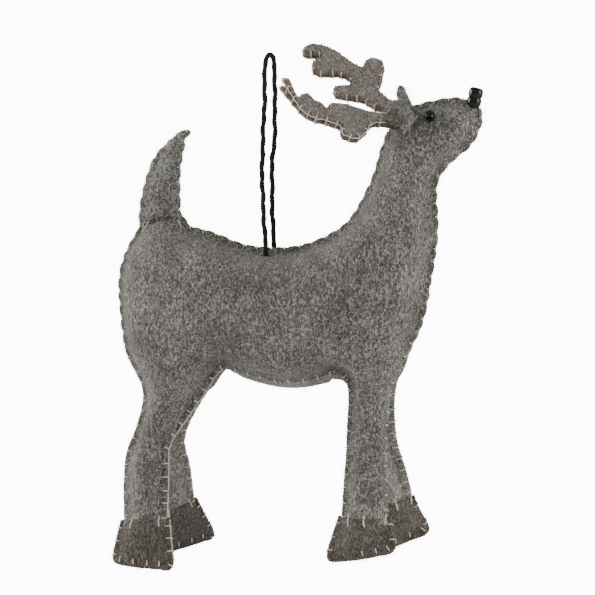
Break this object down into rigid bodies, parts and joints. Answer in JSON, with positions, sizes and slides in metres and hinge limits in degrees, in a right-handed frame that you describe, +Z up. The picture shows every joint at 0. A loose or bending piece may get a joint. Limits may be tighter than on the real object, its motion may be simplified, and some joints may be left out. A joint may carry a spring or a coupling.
{
  "type": "felt reindeer ornament",
  "caption": "Stuffed felt reindeer ornament with sewn panels, felt antlers, bead eyes and nose, hung on a cord loop.",
  "frame": {"origin": "inner top of the hanging loop, where the hook bears", "axes": "+Z up along the hanging loop, +X towards the reindeer's head, +Y towards its left flank"},
  "size_m": [0.151, 0.0684, 0.2088],
  "materials": {
    "grey_felt": "matte heathered wool felt",
    "gusset_felt": "matte heathered wool felt",
    "hoof_felt": "matte brown wool felt",
    "antler_felt": "matte taupe wool felt",
    "wadding": "loose fibre fill",
    "cord": "twisted cord",
    "thread": "cotton thread",
    "black_bead": "polished opaque glass",
    "dark_bead": "polished opaque glass"
  },
  "bodies": {
    "loop": {"hanging_loop": "cord"},
    "reindeer": {"right_side_panel": "grey_felt", "left_side_panel": "grey_felt", "belly_gusset": "gusset_felt", "right_front_hoof_outer": "hoof_felt", "right_front_hoof_inner": "hoof_felt", "right_front_leg_stuffing": "wadding", "right_rear_hoof_outer": "hoof_felt", "right_rear_hoof_inner": "hoof_felt", "right_rear_leg_stuffing": "wadding", "left_front_hoof_outer": "hoof_felt", "left_front_hoof_inner": "hoof_felt", "left_front_leg_stuffing": "wadding", "left_rear_hoof_outer": "hoof_felt", "left_rear_hoof_inner": "hoof_felt", "left_rear_leg_stuffing": "wadding", "torso_stuffing": "wadding", "neck_stuffing": "wadding", "head_stuffing": "wadding", "right_eye_bead": "black_bead", "left_eye_bead": "black_bead", "nose_base_bead": "dark_bead", "nose_tip_bead": "dark_bead", "nose_thread": "thread", "loop_knot": "cord"},
    "tail": {"tail_right_felt": "grey_felt", "tail_left_felt": "grey_felt", "tail_stuffing": "wadding"},
    "right_antler": {"right_antler_lower_felt": "antler_felt", "right_antler_upper_felt": "antler_felt"},
    "left_antler": {"left_antler_lower_felt": "antler_felt", "left_antler_upper_felt": "antler_felt"},
    "right_ear": {"right_ear": "grey_felt"},
    "left_ear": {"left_ear": "grey_felt"}
  },
  "joints": [
    {"name": "body_swing", "type": "hinge", "parent": "loop", "child": "reindeer", "pos_m": [0, 0, -0.07895], "axis": [0, 1, 0], "range_deg": [-18, 18]},
    {"name": "tail_flop", "type": "hinge", "parent": "reindeer", "child": "tail", "pos_m": [-0.0445, 0, -0.06595], "axis": [1, 0, 0], "range_deg": [-15, 15], "stiffness_Nm_per_rad": 0.02},
    {"name": "right_antler_flex", "type": "hinge", "parent": "reindeer", "child": "right_antler", "pos_m": [0.0515, -0.007, -0.02345], "axis": [0.0789, 0.7247, 0.6846], "range_deg": [-15, 15], "stiffness_Nm_per_rad": 0.01},
    {"name": "left_antler_flex", "type": "hinge", "parent": "reindeer", "child": "left_antler", "pos_m": [0.0505, 0.0058, -0.02165], "axis": [0.5149, 0.543, 0.6633], "range_deg": [-15, 15], "stiffness_Nm_per_rad": 0.01},
    {"name": "right_ear_flex", "type": "hinge", "parent": "reindeer", "child": "right_ear", "pos_m": [0.0585, -0.0085, -0.02145], "axis": [-0.8332, -0.1225, -0.5392], "range_deg": [-20, 20], "stiffness_Nm_per_rad": 0.004},
    {"name": "left_ear_flex", "type": "hinge", "parent": "reindeer", "child": "left_ear", "pos_m": [0.059, 0.006, -0.02025], "axis": [0.9294, 0.1373, 0.3426], "range_deg": [-20, 20], "stiffness_Nm_per_rad": 0.004}
  ]
}
